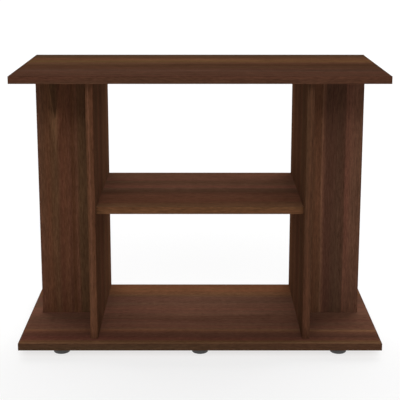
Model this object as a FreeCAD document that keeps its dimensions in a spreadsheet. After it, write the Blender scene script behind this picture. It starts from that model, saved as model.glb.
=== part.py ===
import FreeCAD, Part

import os
import re

import Sketcher

# Open flat-pack aquarium stand. A top board and a base board of the same size are held apart by two
# T-shaped legs. Each leg is an upright that runs front to back and a wing panel that runs outwards from
# it, so the legs stop the stand from racking both ways. A shelf joins the two uprights halfway up, and
# six plastic feet carry the base board. Nothing moves.
#
# Frame: millimetres, +Z up, +X to the right, the front faces -Y. The origin is on the floor, under the
# middle of the boards. The left leg and its fittings are modelled, and the right ones are their mirror
# images.

V = FreeCAD.Vector

SIZES = {
    # boards and panels
    "stand_width": (800, "width of the top and base boards over their edge bands"),
    "stand_depth": (400, "depth of the top and base boards over their edge bands"),
    "board_thickness": (16, "melamine-faced chipboard"),
    "panel_height": (574, "uprights and wings, between the base board and the top board"),
    "bay_width": (454, "clear width between the uprights, which is also the shelf's length"),
    "lower_bay_height": (278, "from the base board to the underside of the shelf"),
    "upright_setback": (30, "uprights' front edges behind the front of the boards"),
    "shelf_setback": (30, "shelf's front edge behind the uprights' front edges"),
    "wing_setback": (196, "wings' front faces behind the front of the boards"),
    "wing_overhang": (27, "how far the boards stand out past the wings' outer edges"),
    # edge banding
    "band_thickness": (1, "plastic edge band"),
    "band_rounding": (0.8, "radius milled on a band's outer corners"),
    # feet
    "foot_height": (16, "under the base board"),
    "foot_radius": (21, "at the top of a foot"),
    "foot_taper": (3, "how much smaller its radius is at the floor"),
    "foot_rounding": (2.5, "edge at the floor"),
    "foot_inset": (36, "foot's middle from the board's front or back edge"),
    "foot_recess_radius": (5.5, "hole for the screw's head"),
    "foot_recess_depth": (9, "from the floor to the head's seat"),
    "foot_screw_radius": (2, "shank"),
    "foot_screw_head_radius": (4, "pan head"),
    "foot_screw_head_height": (2.6, "pan head"),
    "foot_screw_cross_length": (4, "screwdriver cross"),
    "foot_screw_cross_width": (1, "screwdriver cross"),
    "foot_screw_cross_depth": (1.5, "screwdriver cross"),
    "foot_screw_cover": (4, "wood left above the screw's tip"),
    # cam fittings
    "cam_radius": (7.5, "cam disc"),
    "cam_backset": (0.3, "cam's face below the panel's face"),
    "cam_floor": (4, "how far a cam reaches past the panel's mid-plane"),
    "cam_distance": (34, "cam's middle from the edge that it pulls up"),
    "cam_slot_radius": (3.7, "way in for the bolt's head"),
    "cam_slot_overrun": (3.5, "the slot past the cam's middle"),
    "cam_cross_length": (9, "screwdriver cross"),
    "cam_cross_width": (1.6, "screwdriver cross"),
    "cam_cross_depth": (1.8, "screwdriver cross"),
    "bolt_bite": (11, "bolt's thread in the other panel's face"),
    "bolt_thread_radius": (2.5, "thread, left plain"),
    "bolt_collar_radius": (3.6, "collar against the panel's face"),
    "bolt_collar_height": (1.2, "collar"),
    "bolt_shank_radius": (2.9, "shank"),
    "bolt_neck_radius": (1.8, "neck inside the cam"),
    "bolt_neck_length": (3.5, "neck inside the cam"),
    "bolt_head_radius": (3.4, "round head"),
    "bolt_head_length": (3.5, "round head"),
    "bolt_channel_radius": (4, "hole along the panel for the bolt"),
    # dowels
    "dowel_radius": (4, "fluted beech dowel, left plain"),
    "dowel_length": (30, "whole length"),
    "dowel_bite": (11, "in the face of the board that it enters"),
    "dowel_bevel": (1, "chamfer on its ends"),
    "dowel_spacing": (32, "from the cam or screw beside it"),
    # base screws
    "screw_length": (50, "furniture screw from under the base board, over its head"),
    "screw_head_radius": (5, "countersunk head"),
    "screw_head_rim": (0.5, "straight rim of the head"),
    "screw_head_cone": (2, "height of the 90 degree cone down to the shank"),
    "screw_shank_radius": (3, "shank through the base board"),
    "screw_core_radius": (2.4, "thread's core in the panel, left plain"),
    "screw_tip": (3, "length of the point"),
    "socket_radius": (2.3, "hexagon socket, over its corners"),
    "socket_depth": (3, "hexagon socket"),
    # places along the panels, and clearances
    "fixing_inset": (60, "first cam or screw from the end of an upright or of the shelf"),
    "wing_fixing_inset": (36, "wing's screw, cam and dowels from the wing's upright edges"),
    "wing_cam_inset": (100, "wing-to-upright cams from the top and bottom of the wing"),
    "hole_play": (0.1, "radial clearance of a pin, bolt or screw in its hole"),
    "hole_end_play": (1, "hole's end beyond the tip of what is in it"),
}

COUNTERSINK_ANGLE = 90  # degrees, as the cone of the screw's head
SMALLEST_CUT = 1  # cubic millimetres, less than any hole or socket takes away

# Places that several pieces share, as expressions over the sizes. X grows outwards from the middle, so
# the left-hand side uses the same expression with its sign turned.
FRONT = "(-stand_depth / 2)"
BACK = "(stand_depth / 2)"
FLOOR_SIDE = "(foot_height)"
DECK = "(foot_height + board_thickness)"
UNDER_TOP = "(foot_height + board_thickness + panel_height)"
UNDER_SHELF = "(foot_height + board_thickness + lower_bay_height)"
SHELF_MIDDLE = "(foot_height + board_thickness * 3 / 2 + lower_bay_height)"
UPRIGHT_INSIDE = "(bay_width / 2)"
UPRIGHT_MIDDLE = "(bay_width / 2 + board_thickness / 2)"
UPRIGHT_OUTSIDE = "(bay_width / 2 + board_thickness)"
UPRIGHT_FRONT = "(upright_setback - stand_depth / 2)"
SHELF_FRONT = "(upright_setback + shelf_setback - stand_depth / 2)"
WING_OUTSIDE = "(stand_width / 2 - wing_overhang)"
WING_FRONT = "(wing_setback - stand_depth / 2)"
WING_MIDDLE = "(wing_setback + board_thickness / 2 - stand_depth / 2)"
WING_BACK = "(wing_setback + board_thickness - stand_depth / 2)"
FOOT_OUT = f"(({UPRIGHT_OUTSIDE} + {WING_OUTSIDE}) / 2)"

# Along an upright, from front to back: the outer fixings, the dowels beside them and the middle screw.
UPRIGHT_FIXINGS = [f"({UPRIGHT_FRONT} + fixing_inset)", f"({BACK} - fixing_inset)"]
UPRIGHT_DOWELS = [
    f"({UPRIGHT_FRONT} + fixing_inset + dowel_spacing)",
    f"({BACK} - fixing_inset - dowel_spacing)",
]
UPRIGHT_SCREWS = UPRIGHT_FIXINGS + [f"(({UPRIGHT_FRONT} + {BACK}) / 2)"]
SHELF_FIXINGS = [f"({SHELF_FRONT} + fixing_inset)", f"({BACK} - fixing_inset)"]
SHELF_DOWELS = [
    f"({SHELF_FRONT} + fixing_inset + dowel_spacing)",
    f"({BACK} - fixing_inset - dowel_spacing)",
]
# Across a wing and up a wing.
WING_FIXING = f"({WING_OUTSIDE} - wing_fixing_inset)"
WING_DOWEL = f"({UPRIGHT_OUTSIDE} + wing_fixing_inset)"
WING_BOLTS = [f"({DECK} + wing_cam_inset)", f"({UNDER_TOP} - wing_cam_inset)"]
WING_SIDE_DOWELS = [
    f"({DECK} + wing_cam_inset + dowel_spacing)",
    f"({UNDER_TOP} - wing_cam_inset - dowel_spacing)",
]

DOWEL_HOLE = "dowel_radius + hole_play"
DOWEL_IN_FACE = "dowel_bite + hole_end_play"
DOWEL_IN_EDGE = "dowel_length - dowel_bite + hole_end_play"
BOLT_HOLE = "bolt_thread_radius + hole_play"
BOLT_IN_FACE = "bolt_bite + hole_end_play"
CAM_HOLE = "cam_radius + hole_play"
CAM_HEIGHT = "board_thickness / 2 + cam_floor - cam_backset"
CAM_DEPTH = f"cam_backset + {CAM_HEIGHT} + hole_end_play / 2"
SCREW_HOLE = "screw_core_radius + hole_play"
SCREW_IN_EDGE = "screw_length - board_thickness + hole_end_play"
FOOT_SCREW_BITE = "board_thickness - foot_screw_cover"

# Face of a board: the body's own plane, the axis across it, the sign of the plane's normal along that
# axis, whether a cut into the board runs along the normal, and the axes that the sketch draws on.
FACES = {
    "top": ("XY_Plane", 2, 1, False, (0, 1)),
    "bottom": ("XY_Plane", 2, 1, True, (0, 1)),
    "right": ("YZ_Plane", 0, 1, False, (1, 2)),
    "left": ("YZ_Plane", 0, 1, True, (1, 2)),
    "front": ("XZ_Plane", 1, -1, False, (0, 2)),
    "back": ("XZ_Plane", 1, -1, True, (0, 2)),
}
HIGH_FACES = ("top", "right", "back")

doc = FreeCAD.newDocument("aquarium_stand")
pieces = []


def minus(text):
    """The same place on the left-hand side."""
    return f"(-{text})"


def expression(text):
    """Points each size name in the text at its cell of the sheet."""
    return re.sub(r"[a-z][a-z_]*[a-z]", r"sizes.\g<0>", text)


def make_sheet():
    sheet = doc.addObject("Spreadsheet::Sheet", "sizes")
    for row, (name, (value, note)) in enumerate(SIZES.items(), 1):
        sheet.set(f"A{row}", name)
        sheet.set(f"B{row}", str(value))
        sheet.set(f"C{row}", note)
        sheet.setAlias(f"B{row}", name)
    doc.recompute()


def bind(thing, prop, text):
    thing.setExpression(prop, expression(text))


def place(thing, corner, rotation=None):
    """Turns a thing by a fixed rotation and binds its position to three expressions."""
    if rotation:
        thing.Placement = FreeCAD.Placement(V(0, 0, 0), rotation)
    for axis, text in zip("xyz", corner):
        bind(thing, f"Placement.Base.{axis}", text)


def turned_to(x_axis, z_axis):
    """The rotation that turns a fitting's own X and Z axes to these directions."""
    return FreeCAD.Rotation(x_axis, z_axis.cross(x_axis), z_axis, "ZXY")


def new_sketch(body, name, plane, offset="0"):
    sketch = body.newObject("Sketcher::SketchObject", name)
    origin_plane = next(f for f in body.Origin.OriginFeatures if f.Role == plane)
    sketch.AttachmentSupport = (origin_plane, [""])
    sketch.MapMode = "FlatFace"
    bind(sketch, "AttachmentOffset.Base.z", offset)
    return sketch


def constrain(sketch, text, kind, *where):
    """Adds a dimension to a sketch and binds it to an expression."""
    index = sketch.addConstraint(Sketcher.Constraint(kind, *where, 1.0))
    bind(sketch, f"Constraints[{index}]", text)


def draw_polygon(sketch, corners):
    """A closed outline whose corners are pairs of expressions, each measured from the sketch's origin."""
    first, count = sketch.GeometryCount, len(corners)
    starts = [V(i + 1, (i * i) % (count + 1) + 1, 0) for i in range(count)]
    for i in range(count):
        sketch.addGeometry(Part.LineSegment(starts[i], starts[(i + 1) % count]))
    for i in range(count):
        following = first + (i + 1) % count
        sketch.addConstraint(Sketcher.Constraint("Coincident", first + i, 2, following, 1))
    for i, (across, up) in enumerate(corners):
        constrain(sketch, across, "DistanceX", -1, 1, first + i, 1)
        constrain(sketch, up, "DistanceY", -1, 1, first + i, 1)


def draw_rectangle(sketch, low, high):
    draw_polygon(sketch, [low, (high[0], low[1]), high, (low[0], high[1])])


def draw_circle(sketch, middle, radius):
    circle = sketch.addGeometry(Part.Circle(V(1, 1, 0), V(0, 0, 1), 1))
    constrain(sketch, middle[0], "DistanceX", -1, 1, circle, 3)
    constrain(sketch, middle[1], "DistanceY", -1, 1, circle, 3)
    constrain(sketch, radius, "Radius", circle)


def new_body(label):
    body = doc.addObject("PartDesign::Body", label)
    body.Label = label
    return body


def add_pad(body, sketch, length):
    pad = body.newObject("PartDesign::Pad", f"{body.Name}_pad")
    pad.Profile = sketch
    bind(pad, "Length", length)
    doc.recompute()
    return pad


def add_pocket(body, sketch, depth, along_normal=False):
    pocket = body.newObject("PartDesign::Pocket", f"{sketch.Name}_cut")
    pocket.Profile = sketch
    pocket.Reversed = along_normal
    bind(pocket, "Length", depth)
    return pocket


def add_turning(body, corners):
    """A turned solid, from the corners of its half section as (radius, height) pairs."""
    sketch = new_sketch(body, f"{body.Name}_section", "XZ_Plane")
    draw_polygon(sketch, corners)
    turning = body.newObject("PartDesign::Revolution", f"{body.Name}_turning")
    turning.Profile = sketch
    turning.ReferenceAxis = (sketch, ["V_Axis"])
    turning.Angle = 360
    doc.recompute()
    return turning


def edges_where(shape, test):
    return [f"Edge{i}" for i, edge in enumerate(shape.Edges, 1) if test(edge)]


def add_fillet(body, base, edges, radius):
    fillet = body.newObject("PartDesign::Fillet", f"{body.Name}_rounding{len(body.Group)}")
    fillet.Base = (base, edges)
    bind(fillet, "Radius", radius)
    doc.recompute()
    return fillet


class Board:
    """A rectangular panel of chipboard, known by its lowest corner and its size in the stand's frame."""

    def __init__(self, label, corner, size):
        self.corner = corner
        self.body = new_body(label)
        sketch = new_sketch(self.body, f"{label}_outline", "XY_Plane")
        draw_rectangle(sketch, ("0", "0"), (size[0], size[1]))
        add_pad(self.body, sketch, size[2])
        place(self.body, corner)
        pieces.append(self.body)

    def sketch_on(self, name, face, level, spots, radius):
        """Circles on one face, at spots given in the stand's frame."""
        plane, across, sign, _, drawn = FACES[face]
        offset = f"{sign} * ({level} - {self.corner[across]})"
        sketch = new_sketch(self.body, f"{self.body.Label}_{name}", plane, offset)
        for spot in spots:
            own = [f"{text} - {self.corner[axis]}" for axis, text in zip(drawn, spot)]
            draw_circle(sketch, own, radius)
        return sketch

    def drill(self, name, face, level, spots, radius, depth):
        """Blind holes into one face of the board, which lies at level."""
        sketch = self.sketch_on(name, face, level, spots, radius)
        add_pocket(self.body, sketch, depth, FACES[face][3])

    def drill_countersunk(self, name, face, level, spots, radius, head_radius):
        """Holes right through the board from one face, countersunk there at 90 degrees."""
        sketch = self.sketch_on(name, face, level, spots, radius)
        doc.recompute()
        hole = self.body.newObject("PartDesign::Hole", f"{sketch.Name}_hole")
        hole.Profile = sketch
        doc.recompute()
        hole.Threaded = False
        hole.Reversed = FACES[face][3]
        hole.DepthType = "ThroughAll"
        bind(hole, "Diameter", f"2 * ({radius})")
        hole.HoleCutType = "Countersink"
        hole.HoleCutCustomValues = True
        hole.HoleCutCountersinkAngle = COUNTERSINK_ANGLE
        bind(hole, "HoleCutDiameter", f"2 * ({head_radius})")
        doc.recompute()


def both_sides(across, along):
    """Spots on the left and on the right for each place along a leg."""
    return [(side, spot) for side in (minus(across), across) for spot in along]


def make_wide_board(label, level):
    """The top or the base board, inside its edge bands."""
    corner = ("(band_thickness - stand_width / 2)", "(band_thickness - stand_depth / 2)", level)
    size = ("stand_width - 2 * band_thickness", "stand_depth - 2 * band_thickness", "board_thickness")
    return Board(label, corner, size)


def make_top_board():
    board = make_wide_board("top_board", UNDER_TOP)
    bolts = both_sides(UPRIGHT_MIDDLE, UPRIGHT_FIXINGS) + both_sides(WING_FIXING, [WING_MIDDLE])
    dowels = both_sides(UPRIGHT_MIDDLE, UPRIGHT_DOWELS) + both_sides(WING_DOWEL, [WING_MIDDLE])
    board.drill("bolt_holes", "bottom", UNDER_TOP, bolts, BOLT_HOLE, BOLT_IN_FACE)
    board.drill("dowel_holes", "bottom", UNDER_TOP, dowels, DOWEL_HOLE, DOWEL_IN_FACE)


def make_base_board():
    board = make_wide_board("base_board", FLOOR_SIDE)
    screws = both_sides(UPRIGHT_MIDDLE, UPRIGHT_SCREWS) + both_sides(WING_FIXING, [WING_MIDDLE])
    dowels = both_sides(UPRIGHT_MIDDLE, UPRIGHT_DOWELS) + both_sides(WING_DOWEL, [WING_MIDDLE])
    feet = [(across, along) for along in foot_rows().values() for across in foot_columns().values()]
    board.drill("dowel_holes", "top", DECK, dowels, DOWEL_HOLE, DOWEL_IN_FACE)
    board.drill(
        "foot_holes", "bottom", FLOOR_SIDE, feet,
        "foot_screw_radius + hole_play", f"{FOOT_SCREW_BITE} + hole_end_play",
    )
    board.drill_countersunk(
        "screw_holes", "bottom", FLOOR_SIDE, screws,
        "screw_shank_radius + hole_play", "screw_head_radius + hole_play + screw_head_rim",
    )


def make_left_upright():
    """The front-to-back panel of the left leg. Its outer face is the left one."""
    outside, inside, middle = minus(UPRIGHT_OUTSIDE), minus(UPRIGHT_INSIDE), minus(UPRIGHT_MIDDLE)
    corner = (outside, f"({UPRIGHT_FRONT} + band_thickness)", DECK)
    depth = f"{BACK} - {UPRIGHT_FRONT} - 2 * band_thickness"
    board = Board("left_upright", corner, ("board_thickness", depth, "panel_height"))

    def in_edge(places):
        return [(middle, along) for along in places]

    cams = [(along, f"({UNDER_TOP} - cam_distance)") for along in UPRIGHT_FIXINGS]
    wing_bolts = [(WING_MIDDLE, height) for height in WING_BOLTS]
    wing_dowels = [(WING_MIDDLE, height) for height in WING_SIDE_DOWELS]
    shelf_bolts = [(along, SHELF_MIDDLE) for along in SHELF_FIXINGS]
    shelf_dowels = [(along, SHELF_MIDDLE) for along in SHELF_DOWELS]
    board.drill("cam_holes", "left", outside, cams, CAM_HOLE, CAM_DEPTH)
    board.drill(
        "bolt_channels", "top", UNDER_TOP, in_edge(UPRIGHT_FIXINGS),
        "bolt_channel_radius", "cam_distance",
    )
    board.drill("top_dowel_holes", "top", UNDER_TOP, in_edge(UPRIGHT_DOWELS), DOWEL_HOLE, DOWEL_IN_EDGE)
    board.drill("screw_holes", "bottom", DECK, in_edge(UPRIGHT_SCREWS), SCREW_HOLE, SCREW_IN_EDGE)
    board.drill("base_dowel_holes", "bottom", DECK, in_edge(UPRIGHT_DOWELS), DOWEL_HOLE, DOWEL_IN_EDGE)
    board.drill("wing_bolt_holes", "left", outside, wing_bolts, BOLT_HOLE, BOLT_IN_FACE)
    board.drill("wing_dowel_holes", "left", outside, wing_dowels, DOWEL_HOLE, DOWEL_IN_FACE)
    board.drill("shelf_bolt_holes", "right", inside, shelf_bolts, BOLT_HOLE, BOLT_IN_FACE)
    board.drill("shelf_dowel_holes", "right", inside, shelf_dowels, DOWEL_HOLE, DOWEL_IN_FACE)
    return board


def make_left_wing():
    """The side-to-side panel of the left leg. Its cams are in its back face."""
    meeting = minus(UPRIGHT_OUTSIDE)
    corner = (f"(band_thickness - {WING_OUTSIDE})", WING_FRONT, DECK)
    width = f"{WING_OUTSIDE} - {UPRIGHT_OUTSIDE} - band_thickness"
    board = Board("left_wing_panel", corner, (width, "board_thickness", "panel_height"))
    fixing, dowel = [(minus(WING_FIXING), WING_MIDDLE)], [(minus(WING_DOWEL), WING_MIDDLE)]
    cams = [(minus(WING_FIXING), f"({UNDER_TOP} - cam_distance)")]
    cams += [(f"({meeting} - cam_distance)", height) for height in WING_BOLTS]
    bolts = [(WING_MIDDLE, height) for height in WING_BOLTS]
    side_dowels = [(WING_MIDDLE, height) for height in WING_SIDE_DOWELS]
    board.drill("cam_holes", "back", WING_BACK, cams, CAM_HOLE, CAM_DEPTH)
    board.drill("top_bolt_channel", "top", UNDER_TOP, fixing, "bolt_channel_radius", "cam_distance")
    board.drill("side_bolt_channels", "right", meeting, bolts, "bolt_channel_radius", "cam_distance")
    board.drill("top_dowel_hole", "top", UNDER_TOP, dowel, DOWEL_HOLE, DOWEL_IN_EDGE)
    board.drill("base_dowel_hole", "bottom", DECK, dowel, DOWEL_HOLE, DOWEL_IN_EDGE)
    board.drill("screw_hole", "bottom", DECK, fixing, SCREW_HOLE, SCREW_IN_EDGE)
    board.drill("side_dowel_holes", "right", meeting, side_dowels, DOWEL_HOLE, DOWEL_IN_EDGE)
    return board


def make_shelf():
    corner = (minus(UPRIGHT_INSIDE), f"({SHELF_FRONT} + band_thickness)", UNDER_SHELF)
    depth = f"{BACK} - {SHELF_FRONT} - 2 * band_thickness"
    board = Board("middle_shelf", corner, ("bay_width", depth, "board_thickness"))
    cams = both_sides(f"({UPRIGHT_INSIDE} - cam_distance)", SHELF_FIXINGS)
    bolts = [(along, SHELF_MIDDLE) for along in SHELF_FIXINGS]
    dowels = [(along, SHELF_MIDDLE) for along in SHELF_DOWELS]
    board.drill("cam_holes", "bottom", UNDER_SHELF, cams, CAM_HOLE, CAM_DEPTH)
    for face, end in (("left", minus(UPRIGHT_INSIDE)), ("right", UPRIGHT_INSIDE)):
        board.drill(f"{face}_bolt_channels", face, end, bolts, "bolt_channel_radius", "cam_distance")
        board.drill(f"{face}_dowel_holes", face, end, dowels, DOWEL_HOLE, DOWEL_IN_EDGE)


def make_band(label, corner, size, face, round_ends=False):
    """A strip glued on a board's edge. The corners of its outer face are rounded: the two that run along
    the strip, and the two at its ends where it wraps the corner of a board."""
    body = new_body(label)
    sketch = new_sketch(body, f"{label}_outline", "XY_Plane")
    draw_rectangle(sketch, ("0", "0"), (size[0], size[1]))
    pad = add_pad(body, sketch, size[2])
    axis = FACES[face][1]
    box = pad.Shape.BoundBox
    lows, highs = (box.XMin, box.YMin, box.ZMin), (box.XMax, box.YMax, box.ZMax)
    outer = highs[axis] if face in HIGH_FACES else lows[axis]
    longest = max(high - low for low, high in zip(lows, highs))

    def on_outer_face(edge):
        whole = all(abs(vertex.Point[axis] - outer) < Part.Precision.confusion() for vertex in edge.Vertexes)
        return whole and (round_ends or edge.Length > longest / 2)

    add_fillet(body, pad, edges_where(pad.Shape, on_outer_face), "band_rounding")
    place(body, corner)
    pieces.append(body)
    return body


def make_board_bands(name, level):
    """The four bands round the top or the base board. Those in front and behind wrap the corners."""
    left, right = "(-stand_width / 2)", "(stand_width / 2 - band_thickness)"
    across = ("stand_width", "band_thickness", "board_thickness")
    along = ("band_thickness", "stand_depth - 2 * band_thickness", "board_thickness")
    behind_front = f"({FRONT} + band_thickness)"
    make_band(f"{name}_front_edge_band", (left, FRONT, level), across, "front", True)
    make_band(f"{name}_back_edge_band", (left, f"({BACK} - band_thickness)", level), across, "back", True)
    make_band(f"{name}_left_edge_band", (left, behind_front, level), along, "left")
    make_band(f"{name}_right_edge_band", (right, behind_front, level), along, "right")


def make_left_leg_bands():
    outside = minus(UPRIGHT_OUTSIDE)
    upright_edge = ("board_thickness", "band_thickness", "panel_height")
    wing_edge = ("band_thickness", "board_thickness", "panel_height")
    back = f"({BACK} - band_thickness)"
    return [
        make_band("left_upright_front_edge_band", (outside, UPRIGHT_FRONT, DECK), upright_edge, "front"),
        make_band("left_upright_back_edge_band", (outside, back, DECK), upright_edge, "back"),
        make_band("left_wing_edge_band", (minus(WING_OUTSIDE), WING_FRONT, DECK), wing_edge, "left"),
    ]


def make_shelf_bands():
    size = ("bay_width", "band_thickness", "board_thickness")
    end = minus(UPRIGHT_INSIDE)
    make_band("shelf_front_edge_band", (end, SHELF_FRONT, UNDER_SHELF), size, "front")
    make_band("shelf_back_edge_band", (end, f"({BACK} - band_thickness)", UNDER_SHELF), size, "back")


def foot_columns():
    return {"left": minus(FOOT_OUT), "middle": "0", "right": FOOT_OUT}


def foot_rows():
    return {"front": f"({FRONT} + foot_inset)", "back": f"({BACK} - foot_inset)"}


def make_foot(label, across, along):
    """A round moulded foot, slightly tapered to the floor, with a deep recess for its screw."""
    body = new_body(label)
    shank_hole = "foot_screw_radius + hole_play"
    turning = add_turning(body, [
        ("foot_recess_radius", "0"),
        ("foot_radius - foot_taper", "0"),
        ("foot_radius", "foot_height"),
        (shank_hole, "foot_height"),
        (shank_hole, "foot_recess_depth"),
        ("foot_recess_radius", "foot_recess_depth"),
    ])

    at_the_floor = [edge for edge in turning.Shape.Edges if edge.BoundBox.ZMax < Part.Precision.confusion()]
    rim = max(at_the_floor, key=lambda edge: edge.Length)
    add_fillet(body, turning, edges_where(turning.Shape, rim.isSame), "foot_rounding")
    place(body, (across, along, "0"))
    pieces.append(body)


def make_feet():
    for row, along in foot_rows().items():
        for column, across in foot_columns().items():
            make_foot(f"{row}_{column}_foot", across, along)


def add_cross(body, name, length, width, depth):
    """A screwdriver cross cut into the face that lies on the body's own XY plane."""
    for way, (x, y) in (("a", (length, width)), ("b", (width, length))):
        sketch = new_sketch(body, f"{name}_{way}", "XY_Plane")
        draw_rectangle(sketch, (f"-({x}) / 2", f"-({y}) / 2"), (f"({x}) / 2", f"({y}) / 2"))
        add_pocket(body, sketch, depth, along_normal=True)


def model_cam_bolt():
    """A cam's bolt, from the tip of its thread up to its head."""
    body = new_body("cam_bolt_model")
    collar_top = "bolt_bite + bolt_collar_height"
    head_top = "bolt_bite + cam_distance + cam_slot_overrun - hole_end_play"
    head_bottom = f"{head_top} - bolt_head_length"
    neck_bottom = f"{head_bottom} - bolt_neck_length"
    add_turning(body, [
        ("0", "0"), ("bolt_thread_radius", "0"),
        ("bolt_thread_radius", "bolt_bite"), ("bolt_collar_radius", "bolt_bite"),
        ("bolt_collar_radius", collar_top), ("bolt_shank_radius", collar_top),
        ("bolt_shank_radius", neck_bottom), ("bolt_neck_radius", neck_bottom),
        ("bolt_neck_radius", head_bottom), ("bolt_head_radius", head_bottom),
        ("bolt_head_radius", head_top), ("0", head_top),
    ])
    return body


def model_cam_disc():
    """A cam disc. Its driven face lies on its own XY plane and its bolt comes in from its -X side."""
    body = new_body("cam_disc_model")
    sketch = new_sketch(body, "cam_outline", "XY_Plane")
    draw_circle(sketch, ("0", "0"), "cam_radius")
    add_pad(body, sketch, CAM_HEIGHT)
    slot = new_sketch(body, "cam_slot", "YZ_Plane", "cam_slot_overrun")
    draw_circle(slot, ("0", "board_thickness / 2 - cam_backset"), "cam_slot_radius")
    add_pocket(body, slot, "cam_radius + cam_slot_overrun + hole_end_play")
    add_cross(body, "cam_cross", "cam_cross_length", "cam_cross_width", "cam_cross_depth")
    return body


def model_dowel():
    body = new_body("dowel_model")
    sketch = new_sketch(body, "dowel_outline", "XY_Plane")
    draw_circle(sketch, ("0", "0"), "dowel_radius")
    pad = add_pad(body, sketch, "dowel_length")
    chamfer = body.newObject("PartDesign::Chamfer", "dowel_bevels")
    chamfer.Base = (pad, edges_where(pad.Shape, lambda edge: isinstance(edge.Curve, Part.Circle)))
    bind(chamfer, "Size", "dowel_bevel")
    return body


def model_base_screw():
    """A furniture screw, from the face of its countersunk head to its point."""
    body = new_body("base_screw_model")
    cone_end = "screw_head_rim + screw_head_cone"
    add_turning(body, [
        ("0", "0"), ("screw_head_radius", "0"), ("screw_head_radius", "screw_head_rim"),
        ("screw_shank_radius", cone_end), ("screw_shank_radius", "board_thickness"),
        ("screw_core_radius", "board_thickness"), ("screw_core_radius", "screw_length - screw_tip"),
        ("0", "screw_length"),
    ])
    sketch = new_sketch(body, "socket_outline", "XY_Plane")
    half, flat = "socket_radius / 2", "socket_radius * 3 ^ 0.5 / 2"
    draw_polygon(sketch, [
        ("socket_radius", "0"), (half, flat), (f"-{half}", flat),
        ("-socket_radius", "0"), (f"-{half}", f"-{flat}"), (half, f"-{flat}"),
    ])
    add_pocket(body, sketch, "socket_depth", along_normal=True)
    return body


def model_foot_screw():
    """The screw of a foot, from the face of its pan head to its tip in the base board."""
    body = new_body("foot_screw_model")
    length = f"foot_screw_head_height + foot_height - foot_recess_depth + {FOOT_SCREW_BITE}"
    add_turning(body, [
        ("0", "0"), ("foot_screw_head_radius", "0"),
        ("foot_screw_head_radius", "foot_screw_head_height"),
        ("foot_screw_radius", "foot_screw_head_height"),
        ("foot_screw_radius", f"{length} - foot_screw_radius"), ("0", length),
    ])
    add_cross(
        body, "foot_screw_cross",
        "foot_screw_cross_length", "foot_screw_cross_width", "foot_screw_cross_depth",
    )
    return body


def make_group(label, model, rotation, spots):
    """Copies of one fitting at several spots, as one node of separate solids."""
    links = []
    for number, spot in enumerate(spots, 1):
        link = doc.addObject("App::Link", f"{label}_{number}")
        link.LinkedObject = model
        place(link, spot, rotation)
        links.append(link)
    return gather(label, links)


def gather(label, things):
    group = doc.addObject("Part::Compound", label)
    group.Label = label
    group.Links = things
    pieces.append(group)
    return group


UP, DOWN = V(0, 0, 1), V(0, 0, -1)
OUTWARDS, INWARDS = V(-1, 0, 0), V(1, 0, 0)
FORWARDS = V(0, -1, 0)


def make_left_fittings():
    """The bolts, cams, dowels and screws of the left leg and of the shelf's left end."""
    bolt, cam, dowel, screw = model_cam_bolt(), model_cam_disc(), model_dowel(), model_base_screw()
    middle, outside, inside = minus(UPRIGHT_MIDDLE), minus(UPRIGHT_OUTSIDE), minus(UPRIGHT_INSIDE)
    wing_fixing, wing_dowel = minus(WING_FIXING), minus(WING_DOWEL)
    hanging, rising = turned_to(INWARDS, DOWN), turned_to(INWARDS, UP)
    pointing_out, pointing_in = turned_to(UP, OUTWARDS), turned_to(DOWN, INWARDS)

    leg_top = [(middle, along) for along in UPRIGHT_FIXINGS] + [(wing_fixing, WING_MIDDLE)]
    leg_top_dowels = [(middle, along) for along in UPRIGHT_DOWELS] + [(wing_dowel, WING_MIDDLE)]
    leg_screws = [(middle, along) for along in UPRIGHT_SCREWS] + [(wing_fixing, WING_MIDDLE)]
    cam_level = f"({UNDER_TOP} - cam_distance)"
    cam_back = f"({WING_BACK} - cam_backset)"

    groups = [
        make_group("left_top_cam_bolts", bolt, hanging,
                   [(*spot, f"({UNDER_TOP} + bolt_bite)") for spot in leg_top]),
        make_group("left_upright_cam_discs", cam, pointing_in,
                   [(f"({outside} + cam_backset)", along, cam_level) for along in UPRIGHT_FIXINGS]),
        make_group("left_wing_top_cam_disc", cam, turned_to(DOWN, FORWARDS),
                   [(wing_fixing, cam_back, cam_level)]),
        make_group("left_wing_cam_bolts", bolt, pointing_out,
                   [(f"({outside} + bolt_bite)", WING_MIDDLE, height) for height in WING_BOLTS]),
        make_group("left_wing_cam_discs", cam, turned_to(OUTWARDS, FORWARDS),
                   [(f"({outside} - cam_distance)", cam_back, height) for height in WING_BOLTS]),
        make_group("left_shelf_cam_bolts", bolt, pointing_in,
                   [(f"({inside} - bolt_bite)", along, SHELF_MIDDLE) for along in SHELF_FIXINGS]),
        make_group("left_shelf_cam_discs", cam, rising,
                   [(f"({inside} + cam_distance)", along, f"({UNDER_SHELF} + cam_backset)")
                    for along in SHELF_FIXINGS]),
        make_group("left_top_dowels", dowel, hanging,
                   [(*spot, f"({UNDER_TOP} + dowel_bite)") for spot in leg_top_dowels]),
        make_group("left_base_dowels", dowel, rising,
                   [(*spot, f"({DECK} - dowel_bite)") for spot in leg_top_dowels]),
        make_group("left_wing_dowels", dowel, pointing_out,
                   [(f"({outside} + dowel_bite)", WING_MIDDLE, height) for height in WING_SIDE_DOWELS]),
        make_group("left_shelf_dowels", dowel, pointing_in,
                   [(f"({inside} - dowel_bite)", along, SHELF_MIDDLE) for along in SHELF_DOWELS]),
        make_group("left_base_screws", screw, rising,
                   [(*spot, FLOOR_SIDE) for spot in leg_screws]),
    ]
    return groups


def make_foot_screws():
    seat = "(foot_recess_depth - foot_screw_head_height)"
    spots = [(across, along, seat) for along in foot_rows().values() for across in foot_columns().values()]
    make_group("foot_screws", model_foot_screw(), turned_to(INWARDS, UP), spots)


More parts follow.
